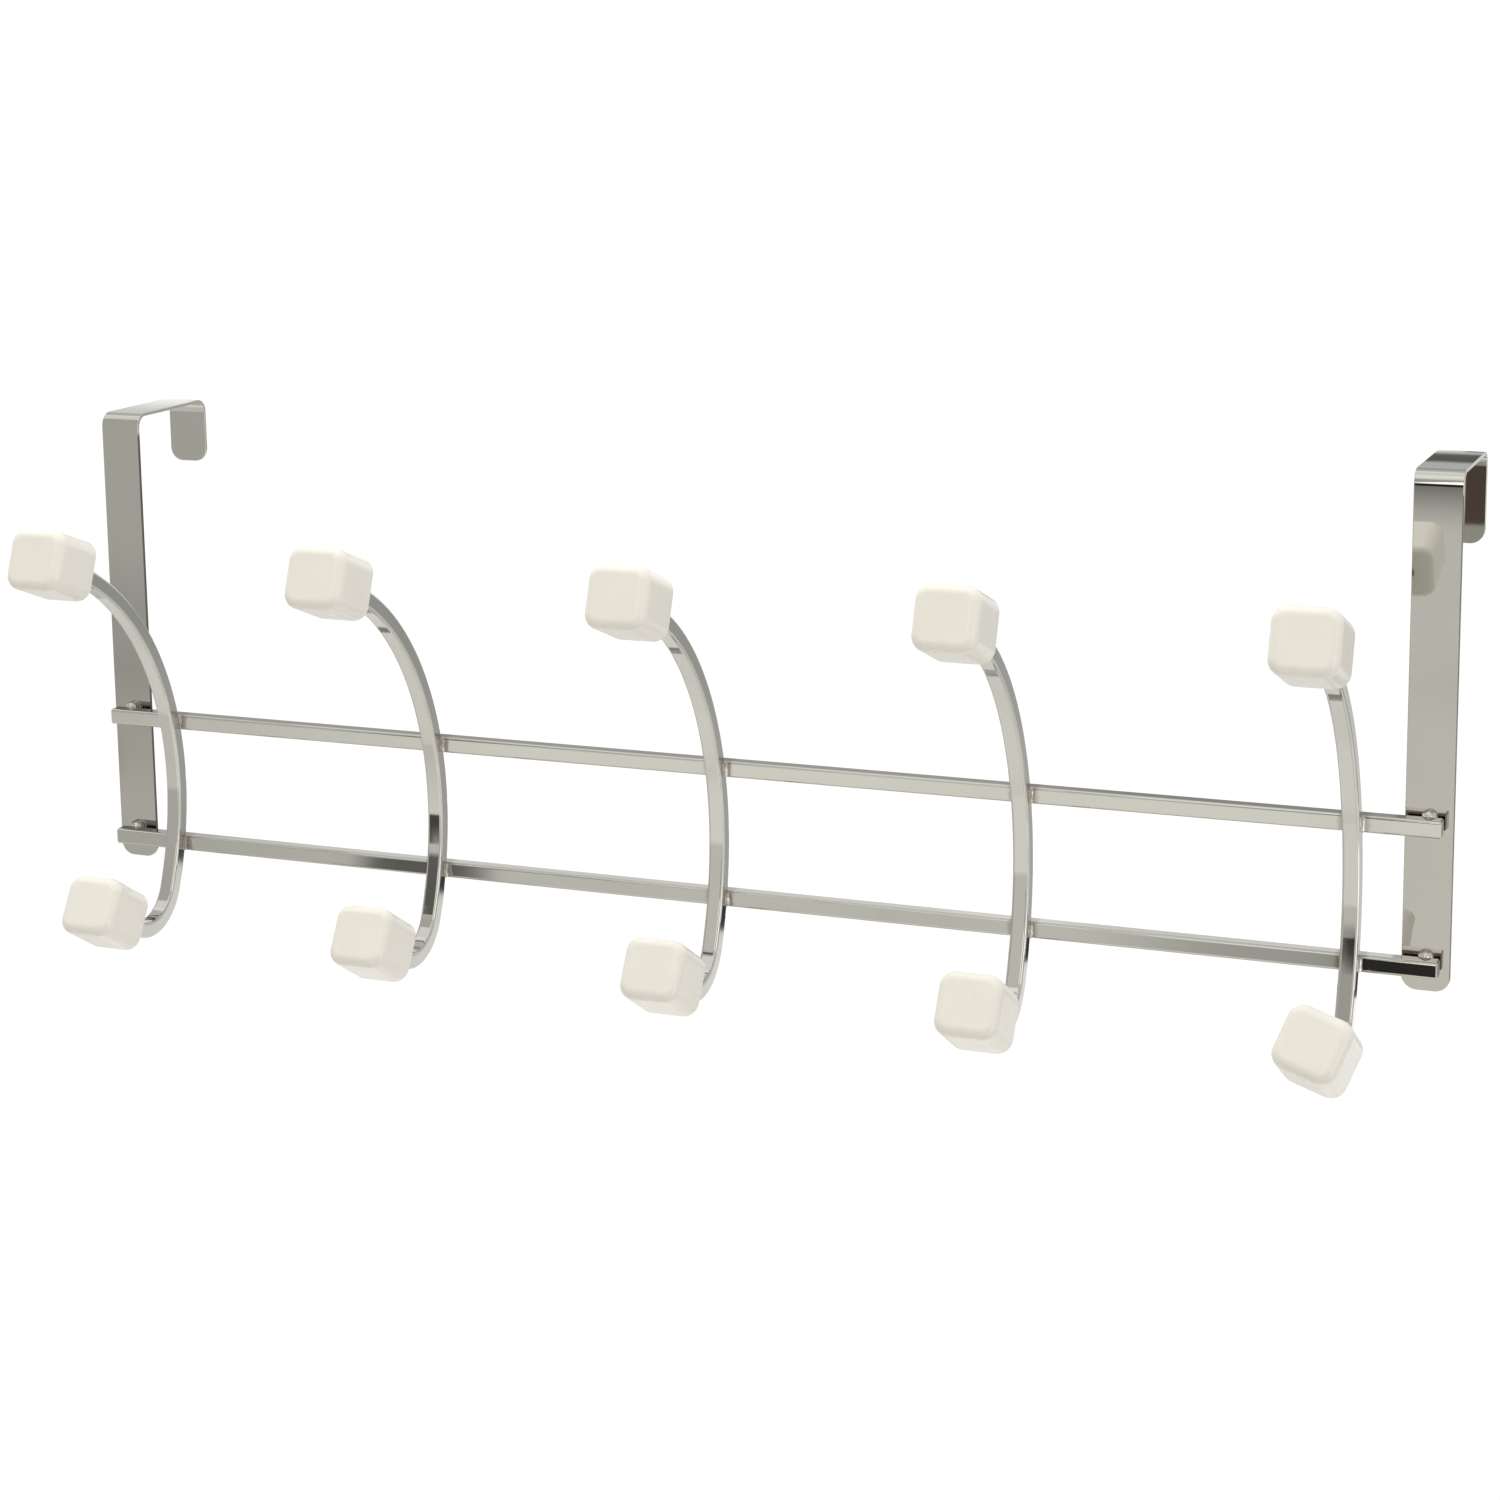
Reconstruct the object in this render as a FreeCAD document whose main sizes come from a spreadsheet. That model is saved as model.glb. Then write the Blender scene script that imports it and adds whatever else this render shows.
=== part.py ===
# Over-door rack: two bent steel straps hang on the door's top edge and carry two square rails.
# Five bent rods are welded across the rails, and each rod ends in a square knob above and below.
import FreeCAD, Part
import math
import os

import Sketcher

PARTS_FOLDER = "parts"
ARM_COUNT = 5

doc = FreeCAD.newDocument("over_door_rack")
sizes = doc.addObject("Spreadsheet::Sheet", "sizes")

# Driving sizes in millimetres and degrees
DRIVING = [
    # Straps: flat strip folded over the door
    ("strap_width", "15"),
    ("strap_gauge", "1.2"),
    ("strap_spacing", "465"),
    ("door_gap", "44.2"),
    ("front_leg_drop", "162"),
    ("back_leg_drop_left", "22.2"),
    ("back_leg_drop_right", "28.7"),
    ("fold_radius", "3.8"),
    ("tip_radius", "4.8"),
    ("strip_edge_radius", "0.25"),
    # Rails: square bar, welded in front of the straps
    ("rail_side", "5.5"),
    ("rail_overhang", "4.7"),
    ("rail_edge_radius", "0.9"),
    ("rail_end_chamfer", "0.4"),
    ("rail_standoff", "2.3"),
    ("upper_rail_drop", "108.4"),
    ("rail_spacing", "44.7"),
    # Weld beads between rails and straps
    ("bead_width", "3.8"),
    ("bead_rise", "1.6"),
    # Arms: square rod, bowed toward the door and turned up at the heel
    ("rod_side", "5.5"),
    ("rod_edge_radius", "0.9"),
    ("end_arm_inset", "21.7"),
    ("bow_radius", "94"),
    ("upper_tilt", "21"),
    ("heel_lean", "21.3"),
    ("heel_run", "3"),
    ("heel_radius", "17.1"),
    ("lower_tilt", "31"),
    ("lower_run", "9.2"),
    ("tang_length", "12"),
    ("weld_sink", "1"),
    # Knobs: square blocks with soft corners and a drilled socket
    ("knob_side", "20.6"),
    ("knob_length", "23"),
    ("knob_corner_radius", "5"),
    ("knob_front_radius", "3.2"),
    ("knob_back_radius", "2.4"),
    ("socket_clearance", "0.03"),
    ("socket_end_gap", "0.4"),
    ("last_knob_twist", "-18"),
]

# Places and mating sizes that follow from the driving sizes
DERIVED = [
    ("half_spacing", "strap_spacing / 2"),
    ("strip_middle_front", "-strap_gauge / 2"),
    ("strip_middle_back", "door_gap + strap_gauge / 2"),
    ("strip_middle_top", "strap_gauge / 2"),
    ("strip_fold_radius", "fold_radius + strap_gauge / 2"),
    ("front_tip", "-front_leg_drop"),
    ("back_tip_left", "-back_leg_drop_left"),
    ("back_tip_right", "-back_leg_drop_right"),
    ("rail_length", "strap_spacing + 2 * rail_overhang"),
    ("arm_pitch", "(strap_spacing - 2 * end_arm_inset) / %d" % (ARM_COUNT - 1)),
    ("rail_middle", "-strap_gauge - rail_standoff - rail_side / 2"),
    ("rail_front", "-strap_gauge - rail_standoff - rail_side"),
    ("upper_rail_height", "-upper_rail_drop"),
    ("lower_rail_height", "-upper_rail_drop - rail_spacing"),
    ("bead_middle", "-strap_gauge - rail_standoff / 2"),
    ("bead_radius", "bead_width / 2"),
    ("bead_height", "rail_side + 2 * bead_rise"),
    ("behind_middle", "-strap_gauge + bead_width / 2"),
    ("bow_height", "-upper_rail_drop - rail_spacing / 2"),
    ("bow_outer_radius", "bow_radius + rod_side / 2"),
    ("seat_half_gap", "(rail_spacing - rail_side) / 2"),
    ("bow_middle", "rail_front + weld_sink - sqrt(bow_outer_radius ^ 2 - seat_half_gap ^ 2)"),
    ("upper_root", "bow_middle + bow_radius * sin(upper_tilt * 1 deg)"),
    ("upper_root_height", "bow_height + bow_radius * cos(upper_tilt * 1 deg)"),
    ("upper_end", "upper_root - tang_length * cos(upper_tilt * 1 deg)"),
    ("upper_end_height", "upper_root_height + tang_length * sin(upper_tilt * 1 deg)"),
    ("heel_start", "bow_middle + bow_radius * cos(heel_lean * 1 deg) - heel_run * sin(heel_lean * 1 deg)"),
    ("heel_start_height",
     "bow_height - bow_radius * sin(heel_lean * 1 deg) - heel_run * cos(heel_lean * 1 deg)"),
    ("heel_middle", "heel_start - heel_radius * cos(heel_lean * 1 deg)"),
    ("heel_height", "heel_start_height + heel_radius * sin(heel_lean * 1 deg)"),
    ("heel_end", "heel_middle - heel_radius * sin(lower_tilt * 1 deg)"),
    ("heel_end_height", "heel_height - heel_radius * cos(lower_tilt * 1 deg)"),
    ("lower_root", "heel_end - lower_run * cos(lower_tilt * 1 deg)"),
    ("lower_root_height", "heel_end_height + lower_run * sin(lower_tilt * 1 deg)"),
    ("lower_line_length", "lower_run + tang_length"),
    ("lower_end", "lower_root - tang_length * cos(lower_tilt * 1 deg)"),
    ("lower_end_height", "lower_root_height + tang_length * sin(lower_tilt * 1 deg)"),
    ("rod_diagonal", "(rod_side - 2 * rod_edge_radius) * sqrt(2) + 2 * rod_edge_radius"),
    ("socket_radius", "rod_diagonal / 2 + socket_clearance"),
    ("socket_depth", "tang_length + socket_end_gap"),
]

row = 0
for name, text in DRIVING:
    row += 1
    sizes.set("A%d" % row, name)
    sizes.set("B%d" % row, text)
    sizes.setAlias("B%d" % row, name)
for name, formula in DERIVED:
    row += 1
    sizes.set("A%d" % row, name)
    sizes.set("B%d" % row, "=" + formula)
    sizes.setAlias("B%d" % row, name)
doc.recompute()


def value(name):
    """Current number in the named cell."""
    return float(getattr(sizes, name))


def bind(target, field, formula):
    target.setExpression(field, formula)


def cell(name):
    return "sizes." + name


def new_body(label):
    body = doc.addObject("PartDesign::Body", label)
    body.Label = label
    return body


def new_sketch(body, name, role):
    """Sketch on one of the body's own origin planes."""
    sketch = body.newObject("Sketcher::SketchObject", name)
    plane = [item for item in body.Origin.OriginFeatures if item.Role == role][0]
    sketch.AttachmentSupport = (plane, [""])
    sketch.MapMode = "FlatFace"
    return sketch


def dimension(sketch, parts, name):
    """Add a dimension to the sketch and tie it to the named cell."""
    index = sketch.addConstraint(Sketcher.Constraint(*parts, value(name)))
    bind(sketch, "Constraints[%d]" % index, cell(name))


def place_point(sketch, geometry, end, across, up):
    """Tie one point of the sketch to named distances from the origin, or to an axis for None."""
    if across:
        dimension(sketch, ("DistanceX", -1, 1, geometry, end), across)
    else:
        sketch.addConstraint(Sketcher.Constraint("PointOnObject", geometry, end, -2))
    if up:
        dimension(sketch, ("DistanceY", -1, 1, geometry, end), up)
    else:
        sketch.addConstraint(Sketcher.Constraint("PointOnObject", geometry, end, -1))


def place_middle(sketch, first, second, across, up):
    """Tie the point half way between two points of the sketch to a named place."""
    start_x = value(across) if across else 0
    start_y = value(up) if up else 0
    middle = sketch.addGeometry(Part.Point(FreeCAD.Vector(start_x, start_y, 0)))
    sketch.toggleConstruction(middle)
    sketch.addConstraint(Sketcher.Constraint("Symmetric", *first, *second, middle, 1))
    place_point(sketch, middle, 1, across, up)


def arc(centre_x, centre_y, radius, start, end):
    circle = Part.Circle(FreeCAD.Vector(centre_x, centre_y, 0), FreeCAD.Vector(0, 0, 1), radius)
    return Part.ArcOfCircle(circle, math.radians(start), math.radians(end))


def line(x1, y1, x2, y2):
    return Part.LineSegment(FreeCAD.Vector(x1, y1, 0), FreeCAD.Vector(x2, y2, 0))


def rounded_rectangle(sketch, width, height, radius, middle_x=None, middle_y=None):
    """Rounded rectangle whose sizes and middle come from named cells."""
    half_w = value(width) / 2
    half_h = value(height) / 2
    r = value(radius)
    cx = value(middle_x) if middle_x else 0
    cy = value(middle_y) if middle_y else 0
    bottom = sketch.addGeometry(line(cx - half_w + r, cy - half_h, cx + half_w - r, cy - half_h))
    corner_a = sketch.addGeometry(arc(cx + half_w - r, cy - half_h + r, r, 270, 360))
    right = sketch.addGeometry(line(cx + half_w, cy - half_h + r, cx + half_w, cy + half_h - r))
    corner_b = sketch.addGeometry(arc(cx + half_w - r, cy + half_h - r, r, 0, 90))
    top = sketch.addGeometry(line(cx + half_w - r, cy + half_h, cx - half_w + r, cy + half_h))
    corner_c = sketch.addGeometry(arc(cx - half_w + r, cy + half_h - r, r, 90, 180))
    left = sketch.addGeometry(line(cx - half_w, cy + half_h - r, cx - half_w, cy - half_h + r))
    corner_d = sketch.addGeometry(arc(cx - half_w + r, cy - half_h + r, r, 180, 270))
    ring = [bottom, corner_a, right, corner_b, top, corner_c, left, corner_d]
    for first, second in zip(ring, ring[1:] + ring[:1]):
        sketch.addConstraint(Sketcher.Constraint("Tangent", first, 2, second, 1))
    for corner in (corner_b, corner_c, corner_d):
        sketch.addConstraint(Sketcher.Constraint("Equal", corner_a, corner))
    sketch.addConstraint(Sketcher.Constraint("Horizontal", bottom))
    sketch.addConstraint(Sketcher.Constraint("Vertical", right))
    dimension(sketch, ("Radius", corner_a), radius)
    dimension(sketch, ("DistanceX", left, 1, right, 1), width)
    dimension(sketch, ("DistanceY", bottom, 1, top, 1), height)
    place_middle(sketch, (corner_a, 3), (corner_c, 3), middle_x, middle_y)


def rectangle(sketch, width, height, middle_x, middle_y):
    """Plain rectangle whose sizes and middle come from named cells."""
    cx = value(middle_x) if middle_x else 0
    cy = value(middle_y)
    half_w = value(width) / 2
    half_h = value(height) / 2
    corners = [
        (cx - half_w, cy - half_h), (cx + half_w, cy - half_h),
        (cx + half_w, cy + half_h), (cx - half_w, cy + half_h)]
    sides = []
    for (ax, ay), (bx, by) in zip(corners, corners[1:] + corners[:1]):
        sides.append(sketch.addGeometry(line(ax, ay, bx, by)))
    for first, second in zip(sides, sides[1:] + sides[:1]):
        sketch.addConstraint(Sketcher.Constraint("Coincident", first, 2, second, 1))
    for number, kind in enumerate(["Horizontal", "Vertical", "Horizontal", "Vertical"]):
        sketch.addConstraint(Sketcher.Constraint(kind, sides[number]))
    dimension(sketch, ("DistanceX", sides[0], 1, sides[0], 2), width)
    dimension(sketch, ("DistanceY", sides[1], 1, sides[1], 2), height)
    place_middle(sketch, (sides[0], 1), (sides[2], 1), middle_x, middle_y)


def cut_through(body, name, profile, width):
    """Cut the profile out of the body, evenly to both sides of its plane."""
    doc.recompute()
    before = body.Shape.Volume
    cut = body.newObject("PartDesign::Pocket", name)
    cut.Profile = profile
    cut.Midplane = True
    bind(cut, "Length", width)
    doc.recompute()
    if not body.Shape.Volume < before:
        raise RuntimeError(name + " cuts nothing")
    return cut


def pipe_along(body, name, profile, path):
    pipe = body.newObject("PartDesign::AdditivePipe", name)
    pipe.Profile = profile
    pipe.Spine = (path, ["Edge%d" % (i + 1) for i in range(len(path.Shape.Edges))])
    doc.recompute()
    return pipe


def edges_where(feature, test):
    """Names of the feature's edges that pass the test."""
    found = []
    for i, edge in enumerate(feature.Shape.Edges):
        if test(edge):
            found.append("Edge%d" % (i + 1))
    return found


def round_edges(body, name, base, edge_names, radius):
    fillet = body.newObject("PartDesign::Fillet", name)
    fillet.Base = (base, edge_names)
    bind(fillet, "Radius", cell(radius))
    doc.recompute()
    return fillet


# Strap: one strip that drops at the door's face, bridges its top and hooks behind it

def build_strap(label, side, back_tip):
    body = new_body(label)
    path = new_sketch(body, label + "_fold_line", "YZ_Plane")
    front = value("strip_middle_front")
    back = value("strip_middle_back")
    top = value("strip_middle_top")
    bend = value("strip_fold_radius")
    tip_front = value("front_tip")
    tip_back = value(back_tip)
    drop = path.addGeometry(line(front, tip_front, front, top - bend))
    fold_a = path.addGeometry(arc(front + bend, top - bend, bend, 90, 180))
    bridge = path.addGeometry(line(front + bend, top, back - bend, top))
    fold_b = path.addGeometry(arc(back - bend, top - bend, bend, 0, 90))
    hook = path.addGeometry(line(back, top - bend, back, tip_back))
    path.addConstraint(Sketcher.Constraint("Tangent", drop, 2, fold_a, 2))
    path.addConstraint(Sketcher.Constraint("Tangent", fold_a, 1, bridge, 1))
    path.addConstraint(Sketcher.Constraint("Tangent", bridge, 2, fold_b, 2))
    path.addConstraint(Sketcher.Constraint("Tangent", fold_b, 1, hook, 1))
    path.addConstraint(Sketcher.Constraint("Vertical", drop))
    path.addConstraint(Sketcher.Constraint("Horizontal", bridge))
    path.addConstraint(Sketcher.Constraint("Vertical", hook))
    path.addConstraint(Sketcher.Constraint("Equal", fold_a, fold_b))
    dimension(path, ("Radius", fold_a), "strip_fold_radius")
    place_point(path, drop, 1, "strip_middle_front", "front_tip")
    place_point(path, hook, 2, "strip_middle_back", back_tip)
    dimension(path, ("DistanceY", -1, 1, bridge, 1), "strip_middle_top")

    section = new_sketch(body, label + "_section", "XY_Plane")
    bind(section, "AttachmentOffset.Base.z", cell("front_tip"))
    rectangle(section, "strap_width", "strap_gauge", None, "strip_middle_front")
    doc.recompute()

    strip = pipe_along(body, label + "_strip", section, path)
    tips = edges_where(strip, is_tip_corner)
    rounded = round_edges(body, label + "_tips", strip, tips, "tip_radius")
    outline = edges_where(rounded, is_strip_outline)
    round_edges(body, label + "_edges", rounded, outline, "strip_edge_radius")
    bind(body, "Placement.Base.x", "%d * %s" % (side, cell("half_spacing")))
    doc.recompute()
    return body


def is_tip_corner(edge):
    """Short straight edge through the gauge, at the end of a leg."""
    if edge.Curve.TypeId != "Part::GeomLine":
        return False
    first, last = edge.Vertexes[0].Point, edge.Vertexes[-1].Point
    along_y = abs(abs(first.y - last.y) - value("strap_gauge")) < 0.001
    return along_y and abs(first.x - last.x) < 0.001 and abs(first.z - last.z) < 0.001


def is_strip_outline(edge):
    """Any edge that isn't a short one through the gauge."""
    box = edge.BoundBox
    through = abs(edge.Length - value("strap_gauge")) < 0.001
    flat_x = box.XLength > value("strap_width") - 0.01
    return not through and not flat_x


# Rails: square bar with soft edges, cut square and broken at the ends

def build_rail(label, height):
    body = new_body(label)
    section = new_sketch(body, label + "_section", "YZ_Plane")
    rounded_rectangle(section, "rail_side", "rail_side", "rail_edge_radius", "rail_middle", height)
    doc.recompute()
    bar = body.newObject("PartDesign::Pad", label + "_bar")
    bar.Profile = section
    bar.Midplane = True
    bind(bar, "Length", cell("rail_length"))
    doc.recompute()
    ends = edges_where(bar, lies_across)
    broken = body.newObject("PartDesign::Chamfer", label + "_ends")
    broken.Base = (bar, ends)
    bind(broken, "Size", cell("rail_end_chamfer"))
    doc.recompute()
    return body


def lies_across(edge):
    """True for an edge of a bar's end, which has no length along the bar."""
    return edge.BoundBox.XLength < 0.001


# Weld beads: metal pressed out between a rail's back and a strap's face

def build_bead(label, side, height):
    body = new_body(label)
    outline = new_sketch(body, label + "_outline", "YZ_Plane")
    bind(outline, "AttachmentOffset.Base.x", cell("bead_middle"))
    bind(outline, "AttachmentOffset.Base.y", cell(height))
    radius = value("bead_radius")
    half = value("bead_height") / 2
    cap = outline.addGeometry(arc(0, half - radius, radius, 0, 90))
    wall = outline.addGeometry(line(radius, radius - half, radius, half - radius))
    cup = outline.addGeometry(arc(0, radius - half, radius, 270, 360))
    core = outline.addGeometry(line(0, -half, 0, half))
    outline.addConstraint(Sketcher.Constraint("Tangent", wall, 2, cap, 1))
    outline.addConstraint(Sketcher.Constraint("Tangent", cup, 2, wall, 1))
    outline.addConstraint(Sketcher.Constraint("Coincident", cup, 1, core, 1))
    outline.addConstraint(Sketcher.Constraint("Coincident", core, 2, cap, 2))
    outline.addConstraint(Sketcher.Constraint("PointOnObject", cap, 3, -2))
    outline.addConstraint(Sketcher.Constraint("PointOnObject", cup, 3, -2))
    outline.addConstraint(Sketcher.Constraint("Symmetric", core, 1, core, 2, -1, 1))
    dimension(outline, ("Radius", cap), "bead_radius")
    dimension(outline, ("DistanceY", core, 1, core, 2), "bead_height")
    doc.recompute()
    lump = body.newObject("PartDesign::Revolution", label + "_lump")
    lump.Profile = outline
    lump.ReferenceAxis = (outline, ["V_Axis"])
    lump.Angle = 360
    doc.recompute()
    seats = new_sketch(body, label + "_seats", "YZ_Plane")
    rounded_rectangle(seats, "rail_side", "rail_side", "rail_edge_radius", "rail_middle", height)
    rectangle(seats, "bead_width", "bead_height", "behind_middle", height)
    cut_through(body, label + "_seated", seats, "2 * " + cell("bead_width"))
    bind(body, "Placement.Base.x", "%d * %s" % (side, cell("half_spacing")))
    doc.recompute()
    return body


# Arms: square rod turned up at both ends, with flats where it is sunk into the rails

def build_arm(label, place):
    body = new_body(label)
    path = new_sketch(body, label + "_bend_line", "YZ_Plane")
    bow_y, bow_z = value("bow_middle"), value("bow_height")
    heel_y, heel_z = value("heel_middle"), value("heel_height")
    bow, heel = value("bow_radius"), value("heel_radius")
    lean, low = value("heel_lean"), value("lower_tilt")
    bow_end_y = bow_y + bow * math.cos(math.radians(lean))
    bow_end_z = bow_z - bow * math.sin(math.radians(lean))
    low_cos, low_sin = math.cos(math.radians(low)), math.sin(math.radians(low))
    heel_end_y, heel_end_z = heel_y - heel * low_sin, heel_z - heel * low_cos
    reach = value("lower_line_length")
    upper_tang = path.addGeometry(line(
        value("upper_end"), value("upper_end_height"), value("upper_root"), value("upper_root_height")))
    bow_arc = path.addGeometry(arc(bow_y, bow_z, bow, -lean, 90 - value("upper_tilt")))
    run = path.addGeometry(line(bow_end_y, bow_end_z, value("heel_start"), value("heel_start_height")))
    heel_arc = path.addGeometry(arc(heel_y, heel_z, heel, 270 - low, 360 - lean))
    lower_tang = path.addGeometry(line(
        heel_end_y, heel_end_z, heel_end_y - reach * low_cos, heel_end_z + reach * low_sin))
    path.addConstraint(Sketcher.Constraint("Tangent", upper_tang, 2, bow_arc, 2))
    path.addConstraint(Sketcher.Constraint("Tangent", bow_arc, 1, run, 1))
    path.addConstraint(Sketcher.Constraint("Tangent", run, 2, heel_arc, 2))
    path.addConstraint(Sketcher.Constraint("Tangent", heel_arc, 1, lower_tang, 1))
    dimension(path, ("Radius", bow_arc), "bow_radius")
    dimension(path, ("Radius", heel_arc), "heel_radius")
    place_point(path, bow_arc, 3, "bow_middle", "bow_height")
    place_point(path, upper_tang, 1, "upper_end", "upper_end_height")
    place_point(path, heel_arc, 3, "heel_middle", "heel_height")
    place_point(path, lower_tang, 2, "lower_end", "lower_end_height")

    section = new_sketch(body, label + "_section", "XZ_Plane")
    section.AttachmentOffset = FreeCAD.Placement(
        FreeCAD.Vector(), FreeCAD.Rotation(FreeCAD.Vector(1, 0, 0), -value("upper_tilt")))
    bind(section, "AttachmentOffset.Base.y", cell("upper_end_height"))
    bind(section, "AttachmentOffset.Base.z", "-" + cell("upper_end"))
    bind(section, "AttachmentOffset.Rotation.Angle", "-" + cell("upper_tilt") + " * 1 deg")
    rounded_rectangle(section, "rod_side", "rod_side", "rod_edge_radius")
    doc.recompute()
    pipe_along(body, label + "_rod", section, path)

    seats = new_sketch(body, label + "_seats", "YZ_Plane")
    for height in ("upper_rail_height", "lower_rail_height"):
        rounded_rectangle(seats, "rail_side", "rail_side", "rail_edge_radius", "rail_middle", height)
    cut_through(body, label + "_seated", seats, "2 * " + cell("rod_side"))
    bind(body, "Placement.Base.x", "%d * %s" % (place, cell("arm_pitch")))
    doc.recompute()
    return body


# Knobs: square blocks with soft corners, drilled from behind and pressed on the rods

def build_knob(label, place, root, root_height, tilt, twist):
    body = new_body(label)
    outline = new_sketch(body, label + "_outline", "XY_Plane")
    if twist:
        outline.AttachmentOffset = FreeCAD.Placement(
            FreeCAD.Vector(), FreeCAD.Rotation(FreeCAD.Vector(0, 0, 1), value(twist)))
        bind(outline, "AttachmentOffset.Rotation.Angle", cell(twist) + " * 1 deg")
    rounded_rectangle(outline, "knob_side", "knob_side", "knob_corner_radius")
    doc.recompute()
    block = body.newObject("PartDesign::Pad", label + "_block")
    block.Profile = outline
    bind(block, "Length", cell("knob_length"))
    doc.recompute()
    length = value("knob_length")
    front = edges_where(block, lambda edge: lies_at(edge, length))
    fronted = round_edges(body, label + "_front", block, front, "knob_front_radius")
    back = edges_where(fronted, lambda edge: lies_at(edge, 0))
    round_edges(body, label + "_back", fronted, back, "knob_back_radius")
    hole = new_sketch(body, label + "_hole", "XY_Plane")
    bore = hole.addGeometry(Part.Circle(FreeCAD.Vector(), FreeCAD.Vector(0, 0, 1), value("socket_radius")))
    hole.addConstraint(Sketcher.Constraint("Coincident", bore, 3, -1, 1))
    dimension(hole, ("Radius", bore), "socket_radius")
    doc.recompute()
    socket = body.newObject("PartDesign::Pocket", label + "_socket")
    socket.Profile = hole
    socket.Reversed = True
    bind(socket, "Length", cell("socket_depth"))
    doc.recompute()
    body.Placement = FreeCAD.Placement(
        FreeCAD.Vector(), FreeCAD.Rotation(FreeCAD.Vector(1, 0, 0), 90 - value(tilt)))
    bind(body, "Placement.Base.x", "%d * %s" % (place, cell("arm_pitch")))
    bind(body, "Placement.Base.y", cell(root))
    bind(body, "Placement.Base.z", cell(root_height))
    bind(body, "Placement.Rotation.Angle", "(90 - %s) * 1 deg" % cell(tilt))
    doc.recompute()
    return body


def lies_at(edge, level):
    """True for an edge that lies wholly at this height."""
    box = edge.BoundBox
    return abs(box.ZMin - level) < 0.001 and abs(box.ZMax - level) < 0.001


subparts = []
subparts.append(build_strap("strap_left", -1, "back_tip_left"))
subparts.append(build_strap("strap_right", 1, "back_tip_right"))
subparts.append(build_rail("upper_rail", "upper_rail_height"))
subparts.append(build_rail("lower_rail", "lower_rail_height"))
for side, side_name in ((-1, "left"), (1, "right")):
    subparts.append(build_bead("upper_weld_" + side_name, side, "upper_rail_height"))
    subparts.append(build_bead("lower_weld_" + side_name, side, "lower_rail_height"))
for number in range(1, ARM_COUNT + 1):
    place = number - (ARM_COUNT + 1) // 2
    last_twist = "last_knob_twist" if number == ARM_COUNT else None
    subparts.append(build_arm("arm_%d" % number, place))
    subparts.append(build_knob(
        "upper_knob_%d" % number, place, "upper_root", "upper_root_height", "upper_tilt", None))
    subparts.append(build_knob(
        "lower_knob_%d" % number, place, "lower_root", "lower_root_height", "lower_tilt", last_twist))

# Every object must be sound before anything is written
doc.recompute()
for item in doc.Objects:
    if "Invalid" in item.State or "Error" in item.State:
        raise RuntimeError("%s is not sound: %s" % (item.Label, item.State))
for body in subparts:
    if body.Shape.isNull() or not body.Shape.isValid() or len(body.Shape.Solids) != 1:
        raise RuntimeError("%s has no sound solid" % body.Label)

os.makedirs(PARTS_FOLDER, exist_ok=True)
for body in subparts:
    body.Shape.exportStep(os.path.join(PARTS_FOLDER, body.Label + ".step"))
    print("%-18s volume %9.1f mm3  faces %d" % (body.Label, body.Shape.Volume, len(body.Shape.Faces)))
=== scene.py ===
import math

import bpy
from mathutils import Euler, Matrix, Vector


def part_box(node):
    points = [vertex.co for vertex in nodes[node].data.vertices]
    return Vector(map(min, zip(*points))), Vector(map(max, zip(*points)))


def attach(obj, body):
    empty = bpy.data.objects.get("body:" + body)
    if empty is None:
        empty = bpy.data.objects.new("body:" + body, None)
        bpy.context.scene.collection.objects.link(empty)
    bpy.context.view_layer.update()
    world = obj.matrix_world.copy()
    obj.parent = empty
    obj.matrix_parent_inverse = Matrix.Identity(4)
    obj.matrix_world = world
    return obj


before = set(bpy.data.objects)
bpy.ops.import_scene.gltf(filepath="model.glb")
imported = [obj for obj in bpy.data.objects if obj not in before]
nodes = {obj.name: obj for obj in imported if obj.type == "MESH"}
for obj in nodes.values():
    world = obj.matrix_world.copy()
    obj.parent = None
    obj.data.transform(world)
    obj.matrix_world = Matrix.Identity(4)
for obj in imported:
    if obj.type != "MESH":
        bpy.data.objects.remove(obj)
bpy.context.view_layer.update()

MM = 0.001


# Straps: two flat steel strips folded over the door's top, with the front leg down to the rails
# and a short leg behind. They are bent from polished strip and plated bright chrome, so the plate
# keeps the strip's faint rolling waves, a few wiping smears and very fine polishing lines.

STRAP_CHROME = (0.556, 0.556, 0.518)
STRAP_ROUGHNESS = 0.02
# Painted shade: this dark brown lines each front leg's right edge, standing in for a dark reflection,
# and darkens the straps' lower parts
STRAP_SHADE_BROWN = (0.115, 0.090, 0.085)
STRAP_MIDDLE = 232.5 * MM
STRAP_HALF = 7.5 * MM
STRAP_SURROUND = 20 * MM
FOLD_START = -3.8 * MM
BRIDGE_MIDDLE = 22.1 * MM
BRIDGE_FLAT = 18.3 * MM
LEAN_LENGTH = 30 * MM
# Painted shade: how far the straps' lower two thirds, and the left strap's lowest part, are darkened
LOW_SHADE = 0.22
LEFT_LOW_SHADE = 0.13

# A turn is a slope, and a bend is a height for each length squared, in metres
LEAN_BEND = -0.55
CROWN_BEND = -0.33
BACK_LEG_TURN = 0.018
FOOT_TURN = 0.033

# The plate's smears, clouds and polishing lines, with lengths and depths in millimetres
SMEAR_SIZE = 26
CLOUD_SIZE = 60
LINE_SIZE = 1.1
LINE_DEPTH = 0.0004
DULL_SHARE = 0.93
SMEAR_ROUGHNESS = 0.025
LINE_ROUGHNESS = 0.012


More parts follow.
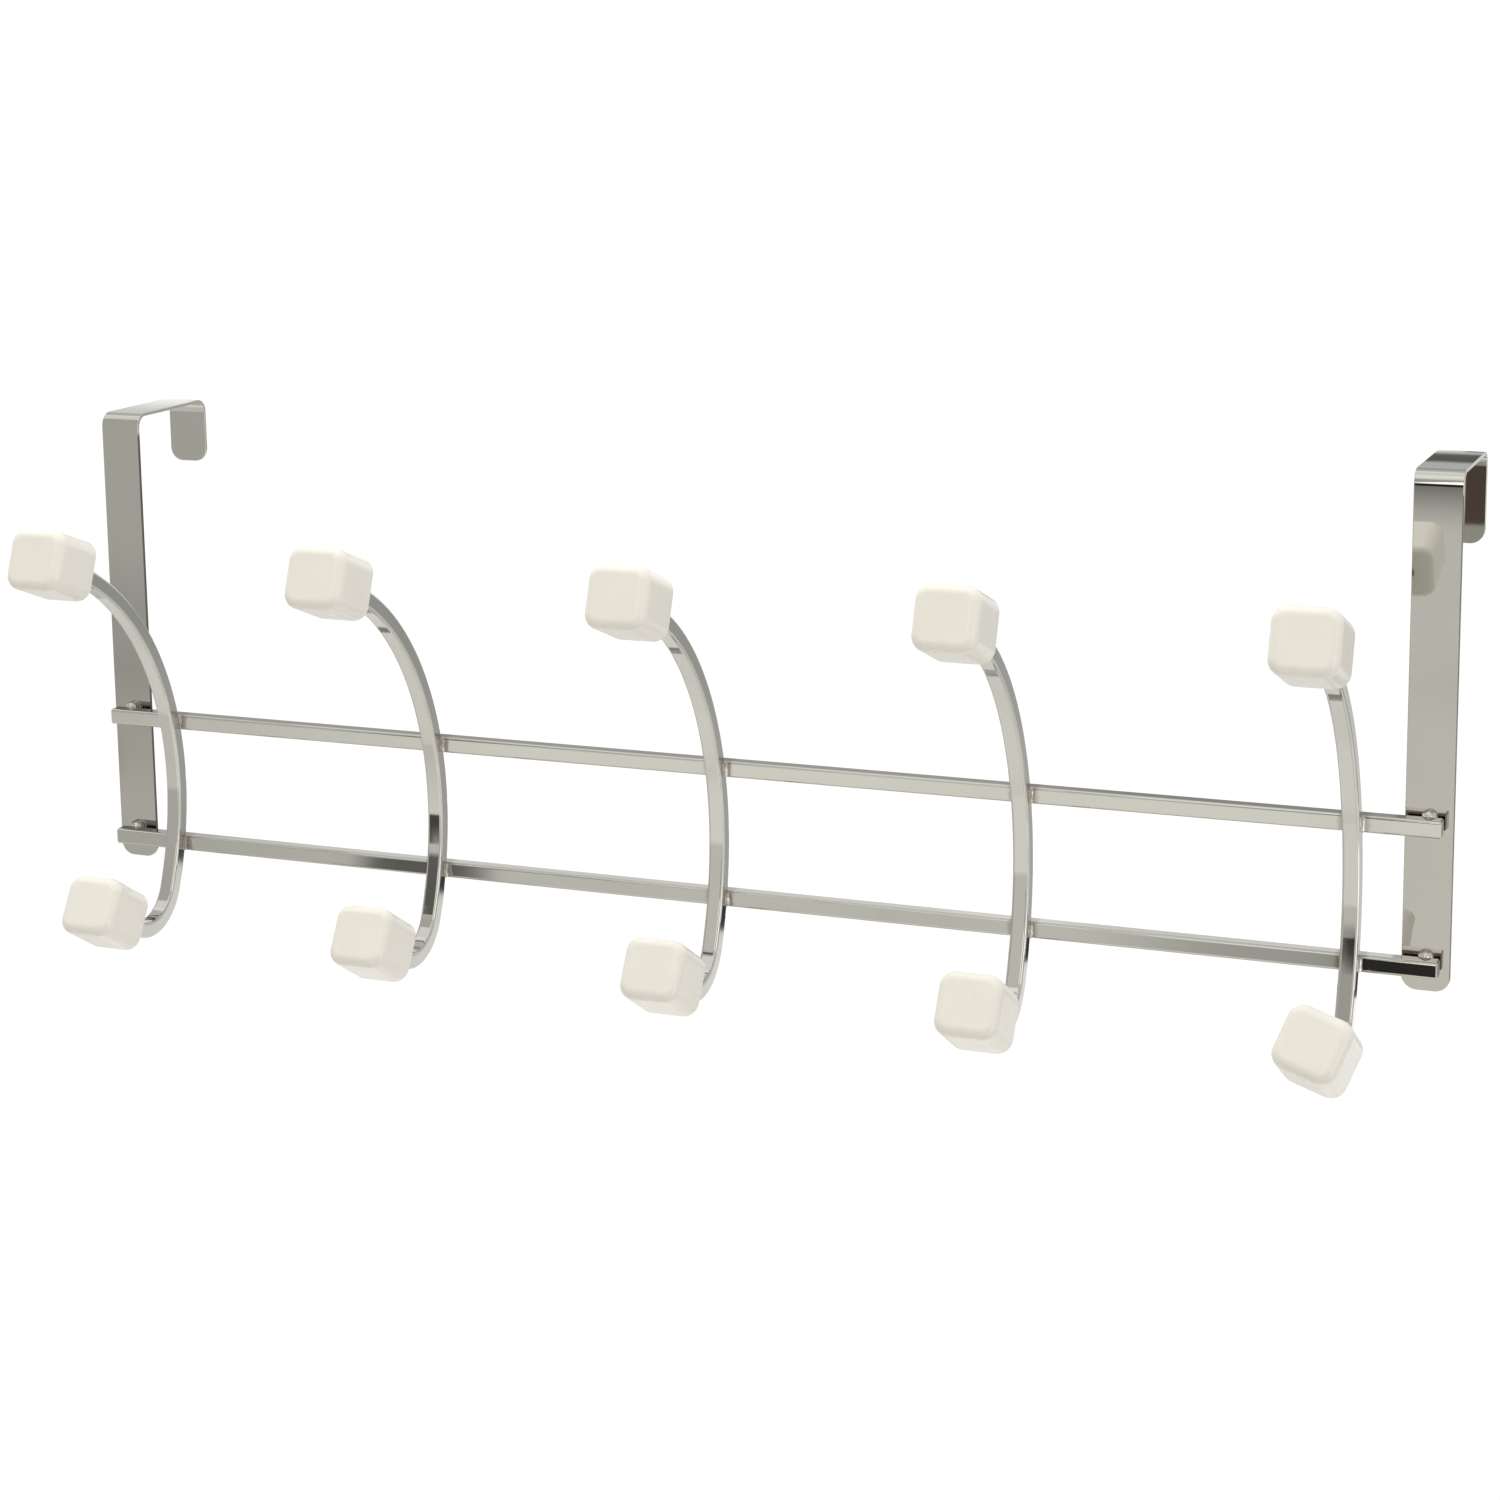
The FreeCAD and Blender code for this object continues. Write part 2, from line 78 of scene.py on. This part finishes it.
class Wire:
    """A node's output socket. Python's +, - and * on it add Math nodes."""

    def __init__(self, tree, socket):
        self.tree = tree
        self.socket = socket

    def node(self, kind, settings, **inputs):
        """Add a node, set it up, then give its sockets values or links.

        A socket goes by its name, or by its number as at0, at1 and so on."""
        made = self.tree.nodes.new(kind)
        for key, setting in settings.items():
            setattr(made, key, setting)
        for key, given in inputs.items():
            name = key.replace("_", " ")
            socket = made.inputs[int(key[2:])] if key.startswith("at") else made.inputs[name]
            if isinstance(given, Wire):
                self.tree.links.new(given.socket, socket)
            else:
                socket.default_value = given
        return made

    def out(self, made, name=0):
        """Wire from an output of a node, given by its name or number."""
        return Wire(self.tree, made.outputs[name])

    def maths(self, operation, first, second=0.0):
        """Result of one Math node."""
        made = self.node("ShaderNodeMath", {"operation": operation}, at0=first, at1=second)
        return self.out(made)

    def __add__(self, other):
        return self.maths("ADD", self, other)

    def __radd__(self, other):
        return self.maths("ADD", other, self)

    def __sub__(self, other):
        return self.maths("SUBTRACT", self, other)

    def __rsub__(self, other):
        return self.maths("SUBTRACT", other, self)

    def __mul__(self, other):
        return self.maths("MULTIPLY", self, other)

    def __rmul__(self, other):
        return self.maths("MULTIPLY", other, self)

    def smooth(self, low, high):
        """0 below low, 1 above high and an even curve between them."""
        made = self.node(
            "ShaderNodeMapRange", {"interpolation_type": "SMOOTHSTEP"},
            Value=self, From_Min=low, From_Max=high)
        return self.out(made, "Result")

    def noise(self, size, stretch=(1, 1, 1), detail=2.0):
        """Noise from 0 to 1 on a wire of places. Its lumps are about size millimetres long, times
        the share that stretch gives for each axis."""
        scale = [1 / (size * MM * share) for share in stretch]
        placed = self.node("ShaderNodeMapping", {}, Vector=self, Scale=scale)
        made = self.node("ShaderNodeTexNoise", {}, Vector=self.out(placed), Scale=1.0, Detail=detail)
        return self.out(made, "Fac")

    def blend(self, first, second):
        """Colour that goes from first to second as this value goes from 0 to 1."""
        made = self.tree.nodes.new("ShaderNodeMix")
        made.data_type = "RGBA"
        self.tree.links.new(self.socket, made.inputs["Factor"])
        for socket, given in ((made.inputs[6], first), (made.inputs[7], second)):
            if isinstance(given, Wire):
                self.tree.links.new(given.socket, socket)
            else:
                socket.default_value = (*given, 1)
        return self.out(made, 2)

    def bump(self, height, depth, under=None):
        """Normal raised by a height wire, depth in millimetres at height 1."""
        inputs = {"Height": height, "Distance": depth * MM, "Strength": 1.0}
        if under is not None:
            inputs["Normal"] = under
        made = self.node("ShaderNodeBump", {}, **inputs)
        return self.out(made)


def new_material(name, metallic, roughness, colour):
    """Material with one glossy shader: returns it, its shader and a wire of the place on the piece."""
    material = bpy.data.materials.new(name)
    material.use_nodes = True
    tree = material.node_tree
    shader = tree.nodes["Principled BSDF"]
    shader.inputs["Metallic"].default_value = metallic
    shader.inputs["Roughness"].default_value = roughness
    shader.inputs["Base Color"].default_value = (*colour, 1)
    place = tree.nodes.new("ShaderNodeTexCoord")
    return material, shader, Wire(tree, place.outputs["Object"])


def feed(shader, place, **wires):
    """Link wires to the shader's sockets of the same names."""
    for key, wire in wires.items():
        place.tree.links.new(wire.socket, shader.inputs[key.replace("_", " ")])


def along(place, name):
    """One coordinate of the place on the piece, in metres."""
    split = place.node("ShaderNodeSeparateXYZ", {}, Vector=place)
    return place.out(split, name)


def chrome(name, colour, roughness, wave, wave_size, stretch, lean=None, painted_shade=None, painted_colour=None):
    """Bright plate over a slightly wavy base, with smears and fine polishing lines.

    lean gives a height in metres that turns a face a little, and the last two give a mask and
    the colour of painted shade."""
    material, shader, place = new_material(name, 1.0, roughness, colour)
    smear = place.noise(SMEAR_SIZE, (1, 1, 1.7), 4).smooth(0.52, 0.78)
    lines = place.noise(LINE_SIZE, stretch, 3)
    cloud = place.noise(CLOUD_SIZE, detail=2).smooth(0.35, 0.75)
    dull = tuple(share * DULL_SHARE for share in colour)
    shade = (cloud * 0.5 + smear * 0.5).blend(colour, dull)
    # Painted shade: the mask darkens the plate toward the given colour
    if painted_shade is not None:
        shade = painted_shade(place).blend(shade, painted_colour)
    under = place.bump(place.noise(wave_size, stretch, 1), wave)
    if lean is not None:
        under = place.bump(lean(place), 1 / MM, under)
    feed(
        shader, place,
        Base_Color=shade,
        Roughness=roughness + smear * SMEAR_ROUGHNESS + lines * LINE_ROUGHNESS,
        Normal=place.bump(lines, LINE_DEPTH, under))
    return material


def dress(names, material):
    """Give CAD nodes a material in place of their plain one."""
    for name in names:
        nodes[name].data.materials.clear()
        nodes[name].data.materials.append(material)


def across_strap(place):
    """Distance to the right of the nearer strap's middle line, in metres, true within
    STRAP_SURROUND of that line."""
    shifted = along(place, "X") + STRAP_MIDDLE + STRAP_SURROUND
    return place.maths("FLOORED_MODULO", shifted, 2 * STRAP_MIDDLE) - STRAP_SURROUND


def strap_lean(place):
    """Springback: the front leg leans back over its top 30 mm, the bridge is crowned by 0.7 degrees,
    the back leg is turned by a degree and the foot of the front leg by two."""
    height = place.maths("MINIMUM", along(place, "Z"), FOLD_START)
    above = place.maths("MAXIMUM", height + LEAN_LENGTH, 0)
    off_middle = place.maths("ABSOLUTE", along(place, "Y") - BRIDGE_MIDDLE)
    crown = place.maths("MINIMUM", off_middle, BRIDGE_FLAT)
    back_leg = along(place, "Y").smooth(38 * MM, 44 * MM)
    foot = 1 - height.smooth(-145 * MM, -115 * MM)
    turned = across_strap(place) * (back_leg * BACK_LEG_TURN - foot * FOOT_TURN)
    return above * above * LEAN_BEND + crown * crown * CROWN_BEND + turned


def strap_shade_mask(place):
    """Mask of painted shade: a dark line down the front leg's right edge, standing in for a dark
    reflection there, and a darkening of the strap's lower two thirds, more low on the left strap."""
    height = along(place, "Z")
    side = across_strap(place).smooth(STRAP_HALF - 0.40 * MM, STRAP_HALF - 0.15 * MM)
    leg = 1 - height.smooth(-7 * MM, -5 * MM)
    front = 1 - along(place, "Y").smooth(2 * MM, 3 * MM)
    # Painted shade: a dark line along the right edge of each front leg
    edge_shade = side * leg * front * (0.85 + 0.15 * place.noise(9, detail=2))
    # Painted shade: darker toward the foot, more on the left strap
    lower_part = 1 - height.smooth(-72 * MM, -42 * MM)
    lowest_part = 1 - height.smooth(-95 * MM, -78 * MM)
    left_strap = 1 - along(place, "X").smooth(-MM, MM)
    low_shade = lower_part * LOW_SHADE + LEFT_LOW_SHADE * (lowest_part * left_strap)
    return place.maths("MAXIMUM", edge_shade, low_shade)


strap_chrome = chrome(
    "strap_chrome", STRAP_CHROME, STRAP_ROUGHNESS, wave=0.012, wave_size=22, stretch=(1, 1, 2.2),
    lean=strap_lean, painted_shade=strap_shade_mask, painted_colour=STRAP_SHADE_BROWN)
dress(["strap_left", "strap_right"], strap_chrome)


# Rails: two drawn square bars across both straps, plated with the rack. Drawing leaves faint
# lines and slow waves along the bar, so they show long soft reflections with ripples.

RAIL_CHROME = (0.572, 0.572, 0.535)
RAIL_ROUGHNESS = 0.03
RAIL_WAVE = 0.008
RAIL_WAVE_SIZE = 9
RAIL_STRETCH = (3.0, 1, 1)
# Painted shade: this brown darkens each bar beside every arm, behind it at each strap and along its
# lower edge
RAIL_SHADE_BROWN = (0.20, 0.150, 0.135)
UPPER_RAIL_HEIGHT = -108.4 * MM
LOWER_RAIL_HEIGHT = -153.1 * MM
RAIL_HALF = 2.75 * MM
ARM_PITCH = 105.4 * MM
ARM_HALF = 2.75 * MM
# How dark each painted shade is: beside the arms, on the lower edge and at the straps
ARM_SIDE_SHADE = 0.45
LOWER_EDGE_SHADE = 0.55
AT_STRAP_SHADE = 0.75
LOWER_RAIL_TURN = -0.197


def rail_shade_mask(place):
    """Mask of painted shade: 3 mm beside each arm, behind the bar at each strap, and along the
    bar's lower edge."""
    off_arm = place.maths("PINGPONG", along(place, "X"), ARM_PITCH / 2)
    ragged = off_arm + (place.noise(2.2) - 0.5) * (1.5 * MM)
    arm_side_shade = 1 - ragged.smooth(ARM_HALF + 1.0 * MM, ARM_HALF + 3.0 * MM)
    off_strap = place.maths("ABSOLUTE", across_strap(place))
    behind_bar = along(place, "Y").smooth(-8.2 * MM, -7.4 * MM)
    end_face = place.maths("ABSOLUTE", along(place, "X")).smooth(239.2 * MM, 239.6 * MM)
    at_strap = (1 - off_strap.smooth(8.5 * MM, 10 * MM)) * behind_bar * (1 - end_face)
    height = along(place, "Z")
    middle = (UPPER_RAIL_HEIGHT + LOWER_RAIL_HEIGHT) / 2
    in_upper = height.smooth(middle - MM, middle + MM)
    below = height - LOWER_RAIL_HEIGHT + in_upper * (LOWER_RAIL_HEIGHT - UPPER_RAIL_HEIGHT)
    edge = 1 - below.smooth(0.35 * MM - RAIL_HALF, 0.65 * MM - RAIL_HALF)
    front = place.maths("MAXIMUM", arm_side_shade * ARM_SIDE_SHADE, edge * LOWER_EDGE_SHADE)
    return place.maths("MAXIMUM", front, at_strap * AT_STRAP_SHADE)


def rail_lean(place):
    """The lower rail was welded on turned back by 11 degrees."""
    return (along(place, "Z") - LOWER_RAIL_HEIGHT) * LOWER_RAIL_TURN


rail_chrome = chrome(
    "rail_chrome", RAIL_CHROME, RAIL_ROUGHNESS, RAIL_WAVE, RAIL_WAVE_SIZE, RAIL_STRETCH,
    painted_shade=rail_shade_mask, painted_colour=RAIL_SHADE_BROWN)
lower_rail_chrome = chrome(
    "lower_rail_chrome", RAIL_CHROME, RAIL_ROUGHNESS, RAIL_WAVE, RAIL_WAVE_SIZE, RAIL_STRETCH,
    lean=rail_lean, painted_shade=rail_shade_mask, painted_colour=RAIL_SHADE_BROWN)
dress(["upper_rail"], rail_chrome)
dress(["lower_rail"], lower_rail_chrome)


# Arms: five square rods bent cold to a shallow bow and a tight heel, and resistance-welded into
# both rails before plating. Bending pulls the faces a little hollow, which ripples the plate.

ARM_CHROME = (0.568, 0.564, 0.532)
ARM_ROUGHNESS = 0.03
# Painted shade: the arms' upper ends are greyed toward this colour
ARM_END_SHADE_GREY = (0.38, 0.38, 0.36)
ARM_END_SHADE = 0.45


def arm_end_shade_mask(place):
    """Mask of painted shade that greys the rod's upper end, with a ragged lower edge."""
    ragged = along(place, "Z") + (place.noise(12) - 0.5) * (14 * MM)
    return ragged.smooth(-100 * MM, -68 * MM) * ARM_END_SHADE


arm_chrome = chrome(
    "arm_chrome", ARM_CHROME, ARM_ROUGHNESS, wave=0.009, wave_size=7, stretch=(1, 1, 2.4),
    painted_shade=arm_end_shade_mask, painted_colour=ARM_END_SHADE_GREY)
dress(["arm_%d" % number for number in range(1, 6)], arm_chrome)


# Weld beads: small lumps of weld metal between each rail's back and each strap's face. They
# are plated with the rack and stay uneven, with small pits where gas came out.

BEAD_CHROME = (0.60, 0.59, 0.565)

bead_chrome, bead_shader, bead_place = new_material("bead_chrome", 1.0, 0.14, BEAD_CHROME)
bead_lumps = bead_place.noise(1.6, detail=2)
bead_pits = bead_place.noise(0.5, detail=1).smooth(0.60, 0.72)
feed(
    bead_shader, bead_place,
    Roughness=0.10 + bead_lumps * 0.12 + bead_pits * 0.2,
    Normal=bead_place.bump(bead_pits * -0.2 + bead_lumps, 0.18))
dress(
    ["%s_weld_%s" % (level, side) for level in ("upper", "lower") for side in ("left", "right")],
    bead_chrome)


# Weld flash: metal squeezed out by the resistance welds, plated over with the rack. It froze as
# a low ragged lip, browned in places, round each rod's seat in a rail, and as a small bright
# mound over each bead.

FLASH_BRIGHT = (0.55, 0.535, 0.50)
FLASH_BROWN = (0.40, 0.355, 0.325)
FLASH_SIZE = (7.1 * MM, 1.5 * MM, 5.1 * MM)
FLASH_PROUD = 0.15 * MM
FLASH_RAGGED = 0.22 * MM
MOUND_SIZE = (4.4 * MM, 2.4 * MM, 3.2 * MM)
MOUND_RISE = 2.2 * MM
MOUND_RAGGED = 0.25 * MM
LUMP_ROUNDING = 0.42

flash_chrome, flash_shader, flash_place = new_material("flash_chrome", 1.0, 0.2, FLASH_BRIGHT)
flash_lumps = flash_place.noise(1.1, detail=2)
flash_heat = flash_place.noise(2.6, detail=2).smooth(0.40, 0.62)
feed(
    flash_shader, flash_place,
    Base_Color=flash_heat.blend(FLASH_BRIGHT, FLASH_BROWN),
    Roughness=0.12 + flash_lumps * 0.16,
    Normal=flash_place.bump(flash_lumps, 0.15))


def weld_lump(name, middle, size, ragged, seed, material):
    """Rounded lump of weld metal with an uneven skin, bevelled and pushed about from a block."""
    bpy.ops.object.select_all(action="DESELECT")
    bpy.ops.mesh.primitive_cube_add(size=1, location=middle)
    lump = bpy.context.object
    lump.name = name
    lump.scale = size
    bpy.ops.object.transform_apply(location=True, rotation=True, scale=True)
    bpy.ops.object.mode_set(mode="EDIT")
    bpy.ops.mesh.select_all(action="SELECT")
    bpy.ops.mesh.bevel(offset=LUMP_ROUNDING * min(size), segments=2, affect="EDGES")
    bpy.ops.mesh.subdivide(number_cuts=1)
    bpy.ops.transform.vertex_random(offset=ragged, uniform=0.5, normal=0.5, seed=seed)
    bpy.ops.mesh.remove_doubles(threshold=0.01 * MM)
    bpy.ops.mesh.normals_make_consistent(inside=False)
    bpy.ops.object.mode_set(mode="OBJECT")
    skin = lump.modifiers.new("skin", "SUBSURF")
    skin.levels = skin.render_levels = 2
    bpy.ops.object.modifier_apply(modifier=skin.name)
    bpy.ops.object.shade_smooth()
    lump.data.materials.append(material)
    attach(lump, "root")


for level, height in (("upper", UPPER_RAIL_HEIGHT), ("lower", LOWER_RAIL_HEIGHT)):
    rail_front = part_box("%s_rail" % level)[0][1]
    for number in range(1, 6):
        seat = ((number - 3) * ARM_PITCH, rail_front - FLASH_PROUD, height)
        weld_lump(
            "%s_weld_flash_%d" % (level, number), seat, FLASH_SIZE, FLASH_RAGGED,
            7 * number + 5, flash_chrome)
    for side, seed in (("left", 49), ("right", 50)):
        bead_low, bead_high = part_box("%s_weld_%s" % (level, side))
        mound = ((bead_low[0] + bead_high[0]) / 2, (bead_low[1] + bead_high[1]) / 2, height + MOUND_RISE)
        weld_lump(
            "%s_weld_mound_%s" % (level, side), mound, MOUND_SIZE, MOUND_RAGGED,
            seed, bead_chrome)


# Knobs: ten square blocks with soft corners, cast and fired with a cream glaze, one on each end
# of every rod. The glaze has slow colour changes, pinholes and a faint uneven skin.

GLAZE_CREAM = (0.732, 0.708, 0.650)
GLAZE_WARM = (0.722, 0.692, 0.632)
GLAZE_COAT = 0.3
GLAZE_COAT_ROUGHNESS = 0.09
SKIN_DEPTH = 0.03
PINHOLE_DEPTH = 0.02

glaze, glaze_shader, glaze_place = new_material("cream_glaze", 0.0, 0.22, GLAZE_CREAM)
glaze_cloud = glaze_place.noise(14, detail=2).smooth(0.35, 0.70)
glaze_skin = glaze_place.noise(5, detail=2)
glaze_pinholes = glaze_place.noise(0.7, detail=1).smooth(0.70, 0.80)
glaze_shader.inputs["Coat Weight"].default_value = GLAZE_COAT
glaze_shader.inputs["Coat Roughness"].default_value = GLAZE_COAT_ROUGHNESS
feed(
    glaze_shader, glaze_place,
    Base_Color=glaze_cloud.blend(GLAZE_CREAM, GLAZE_WARM),
    Roughness=0.20 + glaze_skin * 0.10,
    Normal=glaze_place.bump(glaze_pinholes, -PINHOLE_DEPTH, glaze_place.bump(glaze_skin, SKIN_DEPTH)))
dress(
    ["%s_knob_%d" % (level, number) for level in ("upper", "lower") for number in range(1, 6)],
    glaze)


# Studio: a plain white floor well below the hanging rack, soft light from above and the right,
# and a pale room that shows only where chrome or glaze mirrors it.

FLOOR_WHITE = (0.94, 0.93, 0.91)
FLOOR_DEPTH = 1.2
FLOOR_HALF = 1.1
RACK_MIDDLE = (0, -0.03, -0.09)

bpy.ops.object.select_all(action="DESELECT")
bpy.ops.mesh.primitive_plane_add(size=2 * FLOOR_HALF, location=(0, 0, -FLOOR_DEPTH))
floor = bpy.context.object
floor.name = "floor"
floor.data.materials.append(new_material("floor_paint", 0.0, 0.9, FLOOR_WHITE)[0])


def softbox(name, place, target, width, height, power):
    """Rectangular soft light that faces a target point."""
    lamp = bpy.data.lights.new(name, "AREA")
    lamp.shape = "RECTANGLE"
    lamp.size = width
    lamp.size_y = height
    lamp.energy = power
    holder = bpy.data.objects.new(name, lamp)
    bpy.context.scene.collection.objects.link(holder)
    holder.location = place
    aim = Vector(target) - Vector(place)
    holder.rotation_euler = aim.to_track_quat("-Z", "Y").to_euler()
    return holder


softbox("top_light", (-0.35, -0.35, 1.5), RACK_MIDDLE, width=2.2, height=1.6, power=5.0)
softbox("right_light", (1.7, -0.75, -0.25), RACK_MIDDLE, width=0.5, height=1.6, power=4.4)
floor_light = softbox(
    "floor_light", (-0.6, 0.6, 0.9), (-0.6, 1.2, -1.2), width=2.5, height=2.5, power=20)
floor_light.visible_glossy = False

# The room is drawn by direction, in degrees: rise is up from level, front_turn is to the left of
# straight in front and back_turn to the right of straight behind. back_fall is how far a
# direction falls for each metre that it goes back.
world = bpy.data.worlds.new("studio")
world.use_nodes = True
bpy.context.scene.world = world
sky = world.node_tree
background = sky.nodes["Background"]
toward = Wire(sky, sky.nodes.new("ShaderNodeTexCoord").outputs["Generated"])
split = toward.node("ShaderNodeSeparateXYZ", {}, Vector=toward)
right, back, up = (toward.out(split, name) for name in "XYZ")
DEGREES = 180 / math.pi
rise = toward.maths("ARCSINE", up) * DEGREES
front_turn = toward.maths("ARCTAN2", right * -1, back * -1) * DEGREES
back_turn = toward.maths("ARCTAN2", right, back) * DEGREES
back_fall = toward.maths("DIVIDE", up * -1, back)


def band(wire, low, high, soft):
    """1 between low and high, falling to 0 over soft on both sides."""
    return wire.smooth(low - soft, low) * (1 - wire.smooth(high, high + soft))


# In front are a pale table with a greyer wall over it, a dark tripod with a bright window over
# it, and a narrow dark stand further left.
TABLE_LIGHT = 1.06
WALL_LIGHT = 0.82
TRIPOD_SHADE = 0.95
NEAR_TRIPOD_SHADE = 0.33
STAND_SHADE = 0.9
STAND_BACK_SHADE = 0.79
WINDOW_LIGHT = 1.5

far_left = front_turn.smooth(24, 34)
table_tone = TABLE_LIGHT - 0.22 * far_left
wall_tone = WALL_LIGHT - 0.20 * far_left
front = table_tone + (wall_tone - table_tone) * rise.smooth(-13.5, -11)
tripod_side = front_turn.smooth(9.72, 9.85)
tripod_tall = rise.smooth(-8.6 + 7.6 * tripod_side, -3.8 + 3.8 * tripod_side)
tripod_top = rise.smooth(7.8 + 4.4 * tripod_side, 8.8 + 4.4 * tripod_side)
tripod = band(front_turn, 3, 10.15, 0.05) * tripod_tall * (1 - tripod_top)
near_tripod = band(front_turn, 10.2, 12, 3) * rise.smooth(-7, -2)
stand = band(front_turn, 26.8, 28.3, 0.7) * band(rise, -12, -2, 1)
stand_back = band(front_turn - 0.07 * rise, 25.7, 27.2, 0.7) * rise.smooth(1, 4)
window = band(front_turn, 2, 9.5, 0.3) * band(rise, 11, 34, 2)
front = front * (1 - TRIPOD_SHADE * tripod) * (1 - STAND_SHADE * stand)
front = front * (1 - STAND_BACK_SHADE * stand_back) * (1 - NEAR_TRIPOD_SHADE * near_tripod)
front = front + WINDOW_LIGHT * window

# Behind are a pale wall whose light changes with height, a table whose edge is a thin dark line,
# and a dark brownish doorway.
BACK_WALL_LIGHT = 0.80
BACK_WALL_CHANGES = (
    (0.38, -3, 3), (-0.42, 5.5, 8.5), (-0.30, 10.5, 13), (0.42, 14.7, 15.2), (0.45, 16.5, 17.3),
    (-0.61, 18, 22))
LOW_WALL_SHADE = 0.32
TABLE_EDGE = (0.3265, 0.3358)
TABLE_EDGE_SHADE = 0.92
TABLE_TOP_LIGHT = 0.50
DOOR_LIGHT_SHADE = 0.28
DOOR_BAR_SHADE = 0.78
DOORWAY_SHADE = 0.75

behind = BACK_WALL_LIGHT
for change, start, end in BACK_WALL_CHANGES:
    behind = behind + change * rise.smooth(start, end)
low_wall = 1 - rise.smooth(-8, -5)
far_right = back_turn.smooth(25, 29)
behind = behind * (1 - LOW_WALL_SHADE * back_turn.smooth(8, 18) * low_wall)
edge_fall = back_fall + 0.006 + 0.0035 * far_right
behind = behind * (1 - TABLE_EDGE_SHADE * band(edge_fall, *TABLE_EDGE, 0.0006))
table_top = edge_fall.smooth(TABLE_EDGE[1], 0.3368) * back_turn.smooth(4, 8)
behind = behind + TABLE_TOP_LIGHT * table_top
doorway = band(back_turn, -14, -5, 3)
doorway_dark = doorway * band(rise, -8.45, -1, 0.25)
behind = behind * (1 - DOOR_LIGHT_SHADE * doorway * rise.smooth(4, 6))
behind = behind * (1 - DOOR_BAR_SHADE * doorway * band(rise, 7.7, 8.7, 0.5))
behind = behind * (1 - DOORWAY_SHADE * doorway_dark)

# Mirror rays see that room, soft rays an even light and the camera a white backdrop
FRONT_WARM = (1.0, 0.978, 0.925)
BACK_WHITE = (0.990, 0.990, 0.965)
DOORWAY_BROWN = (1.0, 0.74, 0.66)
EVEN_LIGHT = 0.70
EVEN_LIGHT_RISE = 0.20
BACKDROP_LIGHT = 1.05

facing_back = back.smooth(-0.05, 0.1)
mirrored = front + (behind - front) * facing_back
even = EVEN_LIGHT + up * EVEN_LIGHT_RISE
rays = sky.nodes.new("ShaderNodeLightPath")
camera_ray = Wire(sky, rays.outputs["Is Camera Ray"])
soft_ray = Wire(sky, rays.outputs["Is Diffuse Ray"])
lit = mirrored * (1 - soft_ray) + even * soft_ray
strength = lit * (1 - camera_ray) + BACKDROP_LIGHT * camera_ray
tone = facing_back.blend(FRONT_WARM, BACK_WHITE)
tone = (doorway_dark * facing_back * (1 - camera_ray)).blend(tone, DOORWAY_BROWN)
sky.links.new(strength.socket, background.inputs["Strength"])
sky.links.new(tone.socket, background.inputs["Color"])


# Camera: the photograph's view, from the right and a little above, with a long lens. Its place,
# turn and focal length come from a fit to the rack's straight edges, and the shift only places
# the frame.

PHOTO_SIDE = 1500
SENSOR = 36.0
FOCAL_PIXELS = 3140.06
CENTRE_PIXEL = (675.0, 563.08)
CAMERA_PLACE = (0.384399, -0.950560, 0.146902)
CAMERA_YAW, CAMERA_PITCH, CAMERA_ROLL = 22.951, 10.334, -0.949

lens = bpy.data.cameras.new("photo_camera")
lens.sensor_width = SENSOR
lens.lens = SENSOR * FOCAL_PIXELS / PHOTO_SIDE
lens.shift_x = (PHOTO_SIDE / 2 - CENTRE_PIXEL[0]) / PHOTO_SIDE
lens.shift_y = (CENTRE_PIXEL[1] - PHOTO_SIDE / 2) / PHOTO_SIDE
lens.clip_start = 0.01
lens.clip_end = 100
camera = bpy.data.objects.new("photo_camera", lens)
bpy.context.scene.collection.objects.link(camera)
camera.location = CAMERA_PLACE
turn = Euler((math.radians(90 - CAMERA_PITCH), 0, math.radians(CAMERA_YAW)))
roll = Euler((0, 0, math.radians(CAMERA_ROLL)))
camera.rotation_mode = "QUATERNION"
camera.rotation_quaternion = (turn.to_matrix() @ roll.to_matrix()).to_quaternion()
bpy.context.scene.camera = camera
bpy.context.scene.view_settings.view_transform = "Standard"
